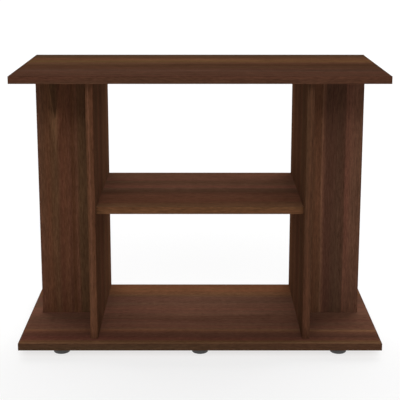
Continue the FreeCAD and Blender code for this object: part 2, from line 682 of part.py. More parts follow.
def mirror_to_the_right(piece):
    """The right-hand twin of a left-hand piece."""
    label = piece.Label.replace("left_", "right_", 1)
    twin = doc.addObject("Part::Mirroring", label)
    twin.Label = label
    twin.Source = piece
    twin.Normal = V(1, 0, 0)
    twin.Base = V(0, 0, 0)
    pieces.append(twin)


def check():
    """Stops before anything is written if a feature failed, a cut took nothing or a shape is unsound."""
    for thing in doc.Objects:
        if "Invalid" in thing.State or "Error" in thing.State:
            raise RuntimeError(f"{thing.Label} did not recompute: {thing.State}")
        if thing.TypeId in ("PartDesign::Pocket", "PartDesign::Hole"):
            if thing.BaseFeature.Shape.Volume - thing.Shape.Volume < SMALLEST_CUT:
                raise RuntimeError(f"{thing.Label} cuts nothing")
        if thing.TypeId == "Sketcher::SketchObject" and not thing.FullyConstrained:
            raise RuntimeError(f"{thing.Label} is not fully constrained")
    for piece in pieces:
        if piece.Shape.isNull() or not piece.Shape.isValid() or not piece.Shape.Solids:
            raise RuntimeError(f"{piece.Label} is not a sound solid")


def write():
    os.makedirs("parts", exist_ok=True)
    for piece in pieces:
        piece.Shape.exportStep(f"parts/{piece.Label}.step")
    print(f"{len(pieces)} pieces written")


def main():
    make_sheet()
    make_top_board()
    make_base_board()
    make_shelf()
    left = [make_left_upright().body, make_left_wing().body]
    make_board_bands("top", UNDER_TOP)
    make_board_bands("base", FLOOR_SIDE)
    make_shelf_bands()
    left += make_left_leg_bands()
    make_feet()
    make_foot_screws()
    left += make_left_fittings()
    doc.recompute()
    for piece in left:
        mirror_to_the_right(piece)
    doc.recompute()
    check()
    write()


main()
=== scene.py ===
"""Looks of an open flat-pack aquarium stand in dark walnut foil.

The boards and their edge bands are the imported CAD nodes, dressed board by board. The feet and the fittings
are modelled here in full detail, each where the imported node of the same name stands. Sizes are in
millimetres unless a name says otherwise, and every mesh is in metres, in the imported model's own frame.
"""

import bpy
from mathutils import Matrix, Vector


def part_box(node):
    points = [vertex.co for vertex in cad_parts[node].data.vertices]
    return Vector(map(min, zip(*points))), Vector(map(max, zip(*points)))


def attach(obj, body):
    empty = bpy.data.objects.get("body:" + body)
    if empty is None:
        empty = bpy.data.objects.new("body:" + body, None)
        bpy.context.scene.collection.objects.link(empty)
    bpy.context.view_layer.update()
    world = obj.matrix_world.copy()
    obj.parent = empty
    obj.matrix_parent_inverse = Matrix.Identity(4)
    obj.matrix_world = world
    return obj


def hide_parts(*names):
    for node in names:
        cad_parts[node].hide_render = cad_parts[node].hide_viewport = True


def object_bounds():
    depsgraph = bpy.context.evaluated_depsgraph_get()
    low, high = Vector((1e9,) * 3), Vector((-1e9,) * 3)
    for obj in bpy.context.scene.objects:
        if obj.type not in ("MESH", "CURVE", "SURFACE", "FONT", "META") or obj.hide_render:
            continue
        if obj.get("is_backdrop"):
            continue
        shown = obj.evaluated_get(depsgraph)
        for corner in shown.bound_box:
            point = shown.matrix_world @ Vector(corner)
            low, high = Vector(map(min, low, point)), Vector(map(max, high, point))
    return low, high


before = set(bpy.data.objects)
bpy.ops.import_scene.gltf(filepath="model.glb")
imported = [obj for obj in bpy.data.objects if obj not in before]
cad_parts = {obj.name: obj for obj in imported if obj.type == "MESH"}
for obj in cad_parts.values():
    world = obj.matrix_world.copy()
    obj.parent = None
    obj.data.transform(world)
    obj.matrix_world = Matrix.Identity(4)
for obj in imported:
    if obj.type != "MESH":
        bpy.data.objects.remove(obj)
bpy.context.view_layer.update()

import logging
import math
from dataclasses import dataclass, field
from enum import Enum

import bmesh
import bpy
from mathutils import Matrix, Vector

MM = 0.001
BODY = "root"
WHITE = (1.0, 1.0, 1.0, 1.0)
Stripes = tuple[tuple[float, str], ...]  # place across the grain and sRGB colour of each stripe, in order
log = logging.getLogger("aquarium_stand")


# ---------------------------------------------------------------- finishes


def linear(hex_colour: str) -> tuple[float, float, float, float]:
    """Turns an sRGB hex colour such as "5a3c28" into a linear one with an alpha of 1."""
    channels = [int(hex_colour[i : i + 2], 16) / 255 for i in (0, 2, 4)]
    return (*(c / 12.92 if c <= 0.04045 else ((c + 0.055) / 1.055) ** 2.4 for c in channels), 1.0)


def add_node(
    tree: bpy.types.NodeTree, kind: str, inputs: dict | None = None, **settings: object
) -> bpy.types.Node:
    """Adds a shader node with its settings and links.

    Args:
        tree: The node tree that gets the node.
        kind: The node's type, without the ShaderNode in front.
        inputs: A value or an output socket for each input, by name or number.
        **settings: The node's own properties.

    Returns:
        The new node.
    """
    node = tree.nodes.new(f"ShaderNode{kind}")
    for name, value in settings.items():
        setattr(node, name, value)
    for name, value in (inputs or {}).items():
        if isinstance(value, bpy.types.NodeSocket):
            tree.links.new(value, node.inputs[name])
        else:
            node.inputs[name].default_value = value
    return node


def new_tree(name: str) -> tuple[bpy.types.Material, bpy.types.NodeTree]:
    """Makes an empty node material.

    Args:
        name: Of the material.

    Returns:
        The material and its node tree.
    """
    material = bpy.data.materials.new(name)
    material.use_nodes = True
    material.node_tree.nodes.clear()
    return material, material.node_tree


def fill_ramp(ramp: bpy.types.Node, stops: list[tuple[float, tuple]]) -> None:
    """Gives a colour ramp its stops.

    Args:
        ramp: The ramp's node.
        stops: Pairs of a place from 0 to 1 and a linear colour, in order.
    """
    elements = ramp.color_ramp.elements
    while len(elements) < len(stops):
        elements.new(1.0)
    for element, (place, colour) in zip(elements, stops):
        element.position = place
        element.color = colour


class Grain(Enum):
    """The axes that lie along the grain, across it and through the thickness, as numbers of X, Y and Z."""

    LEVEL_BOARD = (0, 1, 2)
    UPRIGHT = (2, 1, 0)
    WING = (2, 0, 1)
    FRONT_EDGE = (0, 2, 1)
    SIDE_EDGE = (1, 2, 0)


@dataclass(frozen=True)
class Layer:
    """One layer of marks drawn out along the grain.

    Attributes:
        length: Typical length of a mark.
        width: Typical width of a mark.
        spread: How far it lightens and darkens, or moves, either way.
        detail: How many finer layers its noise adds.
        shift: Keeps it from repeating another layer.
    """

    length: float
    width: float
    spread: float
    detail: float = 2.0
    shift: float = 0.0


FACE_CHANGE = 11.0  # thickness over which the print changes, so that the two faces of a board differ
FOIL_DEPTH = 0.05
BROAD_STREAKS = Layer(900.0, 12.0, 0.16)
FINE_STREAKS = Layer(260.0, 2.6, 0.26, shift=5.0)
FIBRES = Layer(26.0, 1.3, 0.34, shift=9.0)
FLECKS = Layer(13.0, 3.2, 0.32, shift=15.0)
CLOUDS = Layer(70.0, 40.0, 0.16, detail=3.0, shift=11.0)
TINT_DRIFT = Layer(900.0, 26.0, 0.5, shift=3.0)
PORES = Layer(14.0, 0.5, 0.5, detail=1.0, shift=13.0)  # twice their real width, so that they can be seen
WANDER = Layer(420.0, 90.0, 5.0, detail=1.0, shift=7.0)
FLAME_RIPPLE = Layer(60.0, 6.0, 14.0, detail=1.0, shift=17.0)
FLAME_FADE = 20.0  # how far either way a flame fades at its far end
BEECH_FIGURE = Layer(26.0, 2.2, 0.5, detail=3.0)
BEECH_FLECKS = Layer(2.4, 0.35, 0.16, detail=1.0, shift=4.0)
CHIPS_PER_MM = 0.7
CHIPBOARD = ((0.0, "8a6a45"), (0.6, "c4a176"), (1.0, "a8835a"))


@dataclass(frozen=True)
class Flame:
    """A pointed arch in the printed figure, where the sawn growth rings run out.

    Attributes:
        across: Place of its point across the grain.
        point: Place of its point along the grain.
        slope: How far it reaches along the grain for each millimetre that it widens.
        reach: Half its greatest width.
        strength: How much lighter it is inside, or darker if negative.
        length: How far past its point it fades out.
        softness: Length over which its edge fades.
    """

    across: float
    point: float
    slope: float
    reach: float
    strength: float
    length: float = 1000.0
    softness: float = 16.0


class GrainPattern:
    """Patterns stretched along one piece's grain, in millimetres."""

    def __init__(
        self, tree: bpy.types.NodeTree, grain: Grain, seed: float, wander: Layer | None = None
    ) -> None:
        """Reads where a point lies and lets the grain wander a little.

        Args:
            tree: The material's tree.
            grain: The piece's axes.
            seed: A shift that gives this piece a print of its own.
            wander: How far the grain moves sideways, if it does.
        """
        self.tree = tree
        self.grain = grain
        self.seed = seed
        place = add_node(tree, "TexCoord").outputs["Object"]
        self.place = add_node(tree, "VectorMath", {0: place, "Scale": 1 / MM}, operation="SCALE").outputs[0]
        if wander:
            aside = {0: self.streaks(wander, 0.0), 1: self.on_axes(0.0, 1.0, 0.0), 2: self.place}
            self.place = add_node(tree, "VectorMath", aside, operation="MULTIPLY_ADD").outputs[0]
        axes = add_node(tree, "SeparateXYZ", {0: self.place}).outputs
        self.along, self.across, self.through = (axes[axis] for axis in grain.value)

    def on_axes(self, along: float, across: float, through: float) -> Vector:
        """Puts amounts on the piece's own axes.

        Args:
            along: Amount along the grain.
            across: Amount across it.
            through: Amount through the thickness.

        Returns:
            The amounts as a vector in X, Y and Z.
        """
        vector = Vector()
        for axis, amount in zip(self.grain.value, (along, across, through)):
            vector[axis] = amount
        return vector

    def streaks(self, layer: Layer, middle: float = 1.0) -> bpy.types.NodeSocket:
        """Noise drawn out along the grain.

        Args:
            layer: Size and strength of its marks.
            middle: The value that it varies about.

        Returns:
            The socket of a value that stays within the layer's spread of the middle.
        """
        stretch = {
            0: self.place,
            1: self.on_axes(1 / layer.length, 1 / layer.width, 1 / FACE_CHANGE),
            2: self.on_axes(0.0, 0.0, self.seed + layer.shift),
        }
        place = add_node(self.tree, "VectorMath", stretch, operation="MULTIPLY_ADD").outputs[0]
        noise = add_node(self.tree, "TexNoise", {"Vector": place, "Scale": 1.0, "Detail": layer.detail})
        low, high = middle - layer.spread, middle + layer.spread
        spread = {"Value": noise.outputs[0], "To Min": low, "To Max": high}
        return add_node(self.tree, "MapRange", spread).outputs[0]


@dataclass(frozen=True)
class WalnutFoil:
    """Dark walnut melamine: a printed paper foil, pressed with shallow pores, on chipboard.

    It gives the eye straight, soft stripes of red-brown, orange-brown and olive-brown, fine darker fibres and
    a dry, matt surface that mirrors nothing, even at a flat angle. The raw chipboard core shows only where
    the surface lies deeper than the foil, as in drilled holes.

    Attributes:
        name: Of the material.
        grain: The board's axes.
        stripes: The broad stripes.
        seed: Of the finer print.
        faces: Places of the board's two foiled faces through its thickness.
        flames: Pointed arches in the figure.
        roughness: On the pores' floor and on the film between them.
        specular: Mirrored light; none, because the open pores scatter what a smooth film would mirror.
        tints: The redder and the greener brown between which the stripes drift, as factors.
        pore_edge: Noise values between which a pore's floor rises to the film.
        pore_shade: Lightness in a pore and beside it, as factors.
        pore_depth: Of the pressed pores.
    """

    name: str
    grain: Grain
    stripes: Stripes
    seed: float
    faces: tuple[float, float] | None = None
    flames: tuple[Flame, ...] = ()
    roughness: tuple[float, float] = (0.7, 0.55)
    specular: float = 0.0
    tints: tuple[tuple, tuple] = ((0.95, 1.08, 1.04, 1.0), (1.08, 0.99, 1.01, 1.0))
    pore_edge: tuple[float, float] = (0.36, 0.46)
    pore_shade: tuple[float, float] = (0.7, 1.05)
    pore_depth: float = 0.06

    def material(self) -> bpy.types.Material:
        """Builds the node material."""
        material, tree = new_tree(self.name)
        grain = GrainPattern(tree, self.grain, self.seed, WANDER)
        colour = self.stripes_printed_and_painted_light(tree, grain)
        layers = (BROAD_STREAKS, FINE_STREAKS, FIBRES, FLECKS, CLOUDS)
        shades = [grain.streaks(layer) for layer in layers]
        shades += [self.flame_shade(tree, grain, flame) for flame in self.flames]
        floor, film = self.pore_edge
        edge = {"Value": grain.streaks(PORES, 0.5), "From Min": floor, "From Max": film}
        pores = add_node(tree, "MapRange", edge).outputs[0]
        floor, film = self.pore_shade
        lightness = {"Value": pores, "To Min": floor, "To Max": film}
        shades.append(add_node(tree, "MapRange", lightness).outputs[0])
        for shade in shades:
            colour = add_node(tree, "VectorMath", {0: colour, "Scale": shade}, operation="SCALE").outputs[0]
        if self.faces:
            colour = self.with_core(tree, grain, colour)
        pressed = {"Height": pores, "Distance": self.pore_depth * MM, "Strength": 0.6}
        bump = add_node(tree, "Bump", pressed).outputs[0]
        floor, film = self.roughness
        roughness = add_node(tree, "MapRange", {"Value": pores, "To Min": floor, "To Max": film}).outputs[0]
        surface = {"Base Color": colour, "Roughness": roughness, "Normal": bump}
        surface["Specular IOR Level"] = self.specular
        shader = add_node(tree, "BsdfPrincipled", surface)
        add_node(tree, "OutputMaterial", {0: shader.outputs[0]})
        return material

    def stripes_printed_and_painted_light(self, tree: bpy.types.NodeTree, grain: GrainPattern) -> bpy.types.NodeSocket:
        """The broad stripes across the board, mostly print, with a painted highlight along some front edges
        and painted shade beside an upright, and with a slow drift between a redder and a greener brown.

        Args:
            tree: The material's tree.
            grain: The board's patterns.

        Returns:
            The socket of the colour.
        """
        low, high = self.stripes[0][0], self.stripes[-1][0]
        width = {"Value": grain.across, "From Min": low, "From Max": high}
        share = add_node(tree, "MapRange", width).outputs[0]
        ramp = add_node(tree, "ValToRGB", {0: share})
        fill_ramp(ramp, [((place - low) / (high - low), linear(colour)) for place, colour in self.stripes])
        tint = add_node(tree, "ValToRGB", {0: grain.streaks(TINT_DRIFT, 0.5)})
        fill_ramp(tint, [(0.3, self.tints[0]), (0.7, self.tints[1])])
        both = {0: ramp.outputs[0], 1: tint.outputs[0]}
        return add_node(tree, "VectorMath", both, operation="MULTIPLY").outputs[0]

    def flame_shade(
        self, tree: bpy.types.NodeTree, grain: GrainPattern, flame: Flame
    ) -> bpy.types.NodeSocket:
        """How much one flame lightens or darkens the face that shows.

        Args:
            tree: The material's tree.
            grain: The board's patterns.
            flame: Its shape and strength.

        Returns:
            The socket of a factor that is 1 outside the flame.
        """
        soft = {"interpolation_type": "SMOOTHSTEP"}
        off = add_node(tree, "Math", {0: grain.across, 1: flame.across}, operation="SUBTRACT").outputs[0]
        aside = add_node(tree, "Math", {0: off}, operation="ABSOLUTE").outputs[0]
        start = grain.streaks(FLAME_RIPPLE, -flame.point)
        past = add_node(tree, "Math", {0: grain.along, 1: start}, operation="ADD").outputs[0]
        arch = {0: aside, 1: -flame.slope, 2: past}
        inside = add_node(tree, "Math", arch, operation="MULTIPLY_ADD").outputs[0]
        edge = {"Value": inside, "From Min": 0.0, "From Max": flame.softness}
        tip = add_node(tree, "MapRange", edge, **soft).outputs[0]
        near, far = flame.length - FLAME_FADE, flame.length + FLAME_FADE
        fade = {"Value": past, "From Min": far, "From Max": near}
        end = add_node(tree, "MapRange", fade, **soft).outputs[0]
        side = "GREATER_THAN" if self.grain is Grain.LEVEL_BOARD else "LESS_THAN"
        shown = add_node(tree, "Math", {0: grain.through, 1: sum(self.faces) / 2}, operation=side).outputs[0]
        for limit in (end, shown):
            tip = add_node(tree, "Math", {0: tip, 1: limit}, operation="MULTIPLY").outputs[0]
        flank = {"Value": aside, "From Min": flame.reach, "From Max": flame.reach / 2}
        flank["To Max"] = flame.strength
        strength = add_node(tree, "MapRange", flank, **soft).outputs[0]
        shade = {0: tip, 1: strength, 2: 1.0}
        return add_node(tree, "Math", shade, operation="MULTIPLY_ADD").outputs[0]

    def with_core(
        self, tree: bpy.types.NodeTree, grain: GrainPattern, foil: bpy.types.NodeSocket
    ) -> bpy.types.NodeSocket:
        """Shows pale, speckled chipboard wherever the surface lies more than a foil's depth inside.

        Args:
            tree: The material's tree.
            grain: The board's patterns.
            foil: The printed colour.

        Returns:
            The socket of the colour.
        """
        low, high = self.faces
        depth = {0: grain.through, 1: (low + high) / 2, 2: (high - low) / 2 - FOIL_DEPTH}
        inside = add_node(tree, "Math", depth, operation="COMPARE").outputs[0]
        chips = add_node(tree, "TexVoronoi", {"Vector": grain.place, "Scale": CHIPS_PER_MM})
        core = add_node(tree, "ValToRGB", {0: chips.outputs["Distance"]})
        fill_ramp(core, [(place, linear(colour)) for place, colour in CHIPBOARD])
        mix = {"Factor": inside, "A": foil, "B": core.outputs[0]}
        return add_node(tree, "Mix", mix, data_type="RGBA").outputs["Result"]


@dataclass(frozen=True)
class MouldedPlastic:
    """Black polypropylene, injection moulded in a spark-eroded tool.

    It gives the eye a charcoal grey with a fine, even grain and a soft highlight, a little cloudy from the
    flow of the plastic.

    Attributes:
        name: Of the material.
        colour: Its sRGB colour.
        flow_size: Size of a cloud.
        flow_shade: Lightness in the darkest and the lightest cloud, as factors.
        roughness: In the darkest and the lightest cloud.
        grain_size: Size of a pit of the eroded tool, drawn coarser than real, so that it can be seen.
        grain_depth: Of the pits.
    """

    name: str
    colour: str
    flow_size: float = 11.0
    flow_shade: tuple[float, float] = (0.85, 1.15)
    roughness: tuple[float, float] = (0.37, 0.53)
    grain_size: float = 0.45
    grain_depth: float = 0.04

    def material(self) -> bpy.types.Material:
        """Builds the node material."""
        material, tree = new_tree(self.name)
        place = add_node(tree, "TexCoord").outputs["Object"]
        clouds = {"Vector": place, "Scale": 1 / (self.flow_size * MM), "Detail": 3.0}
        flow = add_node(tree, "TexNoise", clouds).outputs[0]
        dark, light = self.flow_shade
        shade = add_node(tree, "MapRange", {"Value": flow, "To Min": dark, "To Max": light}).outputs[0]
        base = linear(self.colour)[:3]
        colour = add_node(tree, "VectorMath", {0: base, "Scale": shade}, operation="SCALE").outputs[0]
        dark, light = self.roughness
        roughness = add_node(tree, "MapRange", {"Value": flow, "To Min": dark, "To Max": light}).outputs[0]
        pits = {"Vector": place, "Scale": 1 / (self.grain_size * MM), "Detail": 1.0}
        grains = add_node(tree, "TexNoise", pits).outputs[0]
        pressed = {"Height": grains, "Distance": self.grain_depth * MM, "Strength": 0.5}
        bump = add_node(tree, "Bump", pressed).outputs[0]
        surface = {"Base Color": colour, "Roughness": roughness, "Normal": bump}
        shader = add_node(tree, "BsdfPrincipled", surface)
        add_node(tree, "OutputMaterial", {0: shader.outputs[0]})
        return material


@dataclass(frozen=True)
class Zinc:
    """A bare or plated zinc surface on a small fitting.

    Die-cast cams give the eye a dull grey with cloudy patches. Plated screws and bolts are brighter, with a
    faint blue-yellow play of the passivation.

    Attributes:
        name: Of the material.
        dark: sRGB colour of the darker patches.
        light: sRGB colour of the lighter patches.
        roughness: In the darkest and the lightest patch.
        patch: Size of a patch.
        dent: Depth of the surface's unevenness.
    """

    name: str
    dark: str
    light: str
    roughness: tuple[float, float]
    patch: float
    dent: float

    def material(self) -> bpy.types.Material:
        """Builds the node material."""
        material, tree = new_tree(self.name)
        place = add_node(tree, "TexCoord").outputs["Object"]
        clouds = {"Vector": place, "Scale": 1 / (self.patch * MM), "Detail": 4.0}
        cloud = add_node(tree, "TexNoise", clouds).outputs[0]
        colour = add_node(tree, "ValToRGB", {0: cloud})
        fill_ramp(colour, [(0.35, linear(self.dark)), (0.65, linear(self.light))])
        dark, light = self.roughness
        roughness = add_node(tree, "MapRange", {"Value": cloud, "To Min": dark, "To Max": light}).outputs[0]
        uneven = {"Height": cloud, "Distance": self.dent * MM, "Strength": 0.4}
        bump = add_node(tree, "Bump", uneven).outputs[0]
        surface = {"Base Color": colour.outputs[0], "Metallic": 1.0, "Roughness": roughness, "Normal": bump}
        shader = add_node(tree, "BsdfPrincipled", surface)
        add_node(tree, "OutputMaterial", {0: shader.outputs[0]})
        return material


@dataclass(frozen=True)
class Beech:
    """Raw beech, milled to a fluted dowel.

    It gives the eye a pale, warm, dry wood with short darker flecks along its length.

    Attributes:
        name: Of the material.
        grain: The dowel's axes.
        dark: sRGB colour of the darker wood.
        light: sRGB colour of the lighter wood.
        seed: Of the figure.
    """

    name: str
    grain: Grain
    dark: str = "b98c5c"
    light: str = "d3ac7c"
    seed: float = 2.0

    def material(self) -> bpy.types.Material:
        """Builds the node material."""
        material, tree = new_tree(self.name)
        grain = GrainPattern(tree, self.grain, self.seed)
        colour = add_node(tree, "ValToRGB", {0: grain.streaks(BEECH_FIGURE, 0.5)})
        fill_ramp(colour, [(0.3, linear(self.dark)), (0.6, linear(self.light))])
        tone = {0: colour.outputs[0], "Scale": grain.streaks(BEECH_FLECKS)}
        tinted = add_node(tree, "VectorMath", tone, operation="SCALE").outputs[0]
        surface = {"Base Color": tinted, "Roughness": 0.75, "Specular IOR Level": 0.25}
        shader = add_node(tree, "BsdfPrincipled", surface)
        add_node(tree, "OutputMaterial", {0: shader.outputs[0]})
        return material


@dataclass(frozen=True)
class LitAcrylic:
    """Opal acrylic, cast and lit from behind, as the floor of a product studio.

    It gives the eye an even white with faint shadows.

    Attributes:
        name: Of the material.
        colour: Its sRGB colour with no light behind it.
        glow: Brightness of the light behind it.
    """

    name: str
    colour: str
    glow: float

    def material(self) -> bpy.types.Material:
        """Builds the node material."""
        material, tree = new_tree(self.name)
        surface = {
            "Base Color": linear(self.colour),
            "Roughness": 0.9,
            "Specular IOR Level": 0.0,
            "Emission Color": WHITE,
            "Emission Strength": self.glow,
        }
        shader = add_node(tree, "BsdfPrincipled", surface)
        add_node(tree, "OutputMaterial", {0: shader.outputs[0]})
        return material


# ---------------------------------------------------------------- boards


@dataclass
class Board:
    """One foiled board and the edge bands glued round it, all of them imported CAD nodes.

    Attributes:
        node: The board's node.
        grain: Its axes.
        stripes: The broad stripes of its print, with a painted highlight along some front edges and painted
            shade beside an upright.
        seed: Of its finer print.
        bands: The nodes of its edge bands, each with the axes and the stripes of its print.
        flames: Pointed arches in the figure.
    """

    node: str
    grain: Grain
    stripes: Stripes
    seed: float
    bands: dict[str, tuple[Grain, Stripes]] = field(default_factory=dict)
    flames: tuple[Flame, ...] = ()

    def dress(self) -> None:
        """Gives the board and its bands their materials."""
        faces = reach(self.node, self.grain.value[2])
        name = f"walnut_foil_{self.node}"
        foil = WalnutFoil(name, self.grain, self.stripes, self.seed, faces, self.flames)
        dress_node(self.node, foil.material())
        for number, (band, (grain, stripes)) in enumerate(self.bands.items(), 1):
            strip = WalnutFoil(f"walnut_{band}", grain, stripes, self.seed + number)
            dress_node(band, strip.material())
        log.info("%s dressed with %d edge bands", self.node, len(self.bands))


def dress_node(node: str, material: bpy.types.Material) -> None:
    """Puts a material in every slot of a CAD node."""
    for material_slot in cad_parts[node].material_slots:
        material_slot.material = material


def reach(node: str, axis: int) -> tuple[float, float]:
    """Where a CAD node starts and ends along the axis of a number, in millimetres."""
    low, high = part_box(node)
    return low[axis] / MM, high[axis] / MM


def plain(node: str, axis: int, colour: str) -> Stripes:
    """Two stripes of one colour, from one side of a CAD node to the other."""
    return tuple((place, colour) for place in reach(node, axis))


def level_bands(name: str, front: str, back: str, sides: str) -> dict[str, tuple[Grain, Stripes]]:
    """The four bands of the top or the base board.

    Args:
        name: The board's first word.
        front: Colour of the front band.
        back: Colour of the back band.
        sides: Colour of the side bands.

    Returns:
        The nodes with their axes and stripes.
    """
    bands = {}
    for side, grain, colour in (
        ("front", Grain.FRONT_EDGE, front),
        ("back", Grain.FRONT_EDGE, back),
        ("left", Grain.SIDE_EDGE, sides),
        ("right", Grain.SIDE_EDGE, sides),
    ):
        node = f"{name}_{side}_edge_band"
        bands[node] = (grain, plain(node, 2, colour))
    return bands


# ---------------------------------------------------------------- feet and fittings


MERGE_WITHIN = 0.001
SMOOTH_BELOW = 32.0  # degrees between two faces
FLUTE_SHARE = 0.92  # radius at the bottom of a dowel's groove, as a share of its own
CROSS_TAPER = 0.8  # width of a cross at its floor, as a share of its width at the face
CUTTER_MARGIN = 1.0  # how far a cutter starts outside the piece
ROUNDING_STEPS = 6
ROOT_END, CREST_START, CREST_END = 0.5, 0.72, 0.8  # shares of one turn of a thread


def turn(
    profile: list[tuple[float, float]], sides: int, ring: bool = False, flutes: bool = False
) -> bpy.types.Object:
    """Turns a profile round the Z axis by extruding and resizing a circle.

    Args:
        profile: Radius and height of each station, in order along the outline.
        sides: How many flats stand for the circle.
        ring: The outline runs back to its start, so that a hole is left in the middle.
        flutes: Every third corner is pulled in, so that grooves run along the piece.

    Returns:
        The new mesh object.
    """
    radius, height = profile[0]
    bpy.ops.object.select_all(action="DESELECT")
    bpy.ops.mesh.primitive_circle_add(
        vertices=sides,
        radius=radius * MM,
        fill_type="NOTHING" if ring else "NGON",
        location=(0.0, 0.0, height * MM),
    )
    bpy.ops.object.mode_set(mode="EDIT")
    if flutes:
        press_flutes(bpy.context.object, height)
    bpy.ops.mesh.select_all(action="SELECT")
    for (start_radius, start), (end_radius, end) in zip(profile, profile[1:]):
        bpy.ops.mesh.extrude_region_move(TRANSFORM_OT_translate={"value": (0.0, 0.0, (end - start) * MM)})
        share = end_radius / start_radius
        bpy.ops.transform.resize(value=(share, share, 1.0), center_override=(0.0, 0.0, end * MM))
    close_mesh()
    return bpy.context.object


def press_flutes(piece: bpy.types.Object, height: float) -> None:
    """Pulls in every third corner of the circle that is being edited.

    Args:
        piece: The object that it belongs to.
        height: Of the circle along Z.
    """
    mesh = bmesh.from_edit_mesh(piece.data)
    bpy.ops.mesh.select_mode(type="VERT")
    bpy.ops.mesh.select_all(action="DESELECT")
    mesh.verts.ensure_lookup_table()
    for corner in mesh.verts:
        corner.select = corner.index % 3 == 0
    mesh.select_flush_mode()
    bmesh.update_edit_mesh(piece.data)
    share = (FLUTE_SHARE, FLUTE_SHARE, 1.0)
    bpy.ops.transform.resize(value=share, center_override=(0.0, 0.0, height * MM))


def close_mesh() -> None:
    """Merges the doubled points of the mesh in edit mode, turns its faces outwards and leaves edit mode."""
    bpy.ops.mesh.select_all(action="SELECT")
    bpy.ops.mesh.remove_doubles(threshold=MERGE_WITHIN * MM)
    bpy.ops.mesh.normals_make_consistent(inside=False)
    bpy.ops.object.mode_set(mode="OBJECT")
    bpy.ops.object.transform_apply(location=True, rotation=True, scale=True)
    bpy.ops.object.shade_smooth_by_angle(angle=math.radians(SMOOTH_BELOW))


def cut_away(piece: bpy.types.Object, cutter: bpy.types.Object) -> None:
    """Cuts a shape out of a piece and removes the cutter.

    Args:
        piece: What is cut.
        cutter: The shape.
    """
    bpy.ops.object.select_all(action="DESELECT")
    bpy.context.view_layer.objects.active = piece
    piece.select_set(True)
    cut = piece.modifiers.new("cut", "BOOLEAN")
    cut.operation = "DIFFERENCE"
    cut.solver = "EXACT"
    cut.object = cutter
    bpy.ops.object.modifier_apply(modifier="cut")
    bpy.data.objects.remove(cutter)
    bpy.ops.object.mode_set(mode="EDIT")
    close_mesh()


def cut_cross(
    piece: bpy.types.Object, length: float, width: float, depth: float, height: float = 0.0, up: bool = False
) -> None:
    """Cuts a screwdriver's cross into an end face.

    Args:
        piece: The fitting.
        length: Of each bar of the cross.
        width: Of each bar.
        depth: Of the cross.
        height: Of the end face along Z.
        up: The face looks along +Z, and otherwise along -Z.
    """
    inwards = -1 if up else 1
    for turned in (0.0, math.pi / 2):
        bpy.ops.mesh.primitive_cube_add(
            size=1.0,
            location=(0.0, 0.0, height * MM),
            rotation=(0.0, 0.0, turned),
            scale=(length * MM, width * MM, 2 * depth * MM),
        )
        cutter = bpy.context.object
        bpy.ops.object.mode_set(mode="EDIT")
        bpy.ops.mesh.select_all(action="DESELECT")
        mesh = bmesh.from_edit_mesh(cutter.data)
        for face in mesh.faces:
            face.select = face.normal.z * inwards > 0.9  # the one at the cross's floor
        bmesh.update_edit_mesh(cutter.data)
        floor = (0.0, 0.0, (height + inwards * depth) * MM)
        bpy.ops.transform.resize(value=(CROSS_TAPER, CROSS_TAPER, 1.0), center_override=floor)
        bpy.ops.object.mode_set(mode="OBJECT")
        cut_away(piece, cutter)


def ridges(start: float, end: float, pitch: float, core: float, crest: float) -> list[tuple[float, float]]:
    """Stations of a thread, drawn as one ring for each turn.

    Args:
        start: Height of its first turn.
        end: Height at which it stops.
        pitch: Height of one turn.
        core: Radius between the turns.
        crest: Radius over the turns.

    Returns:
        Radius and height of each station.
    """
    stations = []
    for turn_number in range(int((end - start) / pitch)):
        foot = start + turn_number * pitch
        stations += [(core, foot), (core, foot + ROOT_END * pitch)]
        stations += [(crest, foot + CREST_START * pitch), (crest, foot + CREST_END * pitch)]
    return [*stations, (core, end)]


@dataclass(frozen=True)
class Foot:
    """A round, tapered plastic foot with a deep hole for its screw's head and grip rings in its sole.

    Attributes:
        rim_height: Height over which the sole's edge is rounded.
        rim_reach: How far in the rounding reaches.
        flare: How much wider it is over the rounding than at the sole.
        top_bevel: How far in from the top's edge, and how far down, each station of its bevel is.
        grip_rings: Inner radius of each ring pressed into the sole.
        groove: Radius and height of each station of the groove under the top.
    """

    sole_radius: float = 18.0
    top_radius: float = 21.0
    height: float = 16.0
    rim_height: float = 2.5
    rim_reach: float = 2.15
    flare: float = 0.2
    top_bevel: tuple[tuple[float, float], ...] = ((0.05, 0.5), (0.4, 0.0))
    recess_radius: float = 5.5
    recess_depth: float = 9.0
    recess_bevel: float = 0.6
    hole_radius: float = 2.1
    grip_rings: tuple[float, ...] = (8.2, 10.6, 13.0)
    grip_width: float = 1.4
    grip_depth: float = 0.7
    grip_slope: float = 0.3
    groove: tuple[tuple[float, float], ...] = ((20.15, 12.4), (19.9, 12.7), (20.0, 13.3), (20.3, 13.6))

    def model(self) -> bpy.types.Object:
        """Models the foot on the floor, at the origin."""
        outline = [(self.hole_radius, self.recess_depth), (self.recess_radius, self.recess_depth)]
        outline += [(self.recess_radius, self.recess_bevel), (self.recess_radius + self.recess_bevel, 0.0)]
        for inner in self.grip_rings:
            outer = inner + self.grip_width
            outline += [(inner, 0.0), (inner + self.grip_slope, self.grip_depth)]
            outline += [(outer - self.grip_slope, self.grip_depth), (outer, 0.0)]
        for step in range(ROUNDING_STEPS + 1):
            angle = math.radians(90.0 * step / ROUNDING_STEPS)
            radius = self.sole_radius - self.rim_reach * (1 - math.sin(angle)) + self.flare * math.sin(angle)
            outline.append((radius, self.rim_height * (1 - math.cos(angle))))
        outline += self.groove
        outline += [(self.top_radius - inwards, self.height - down) for inwards, down in self.top_bevel]
        outline += [(self.hole_radius, self.height), outline[0]]
        return turn(outline, sides=96, ring=True)


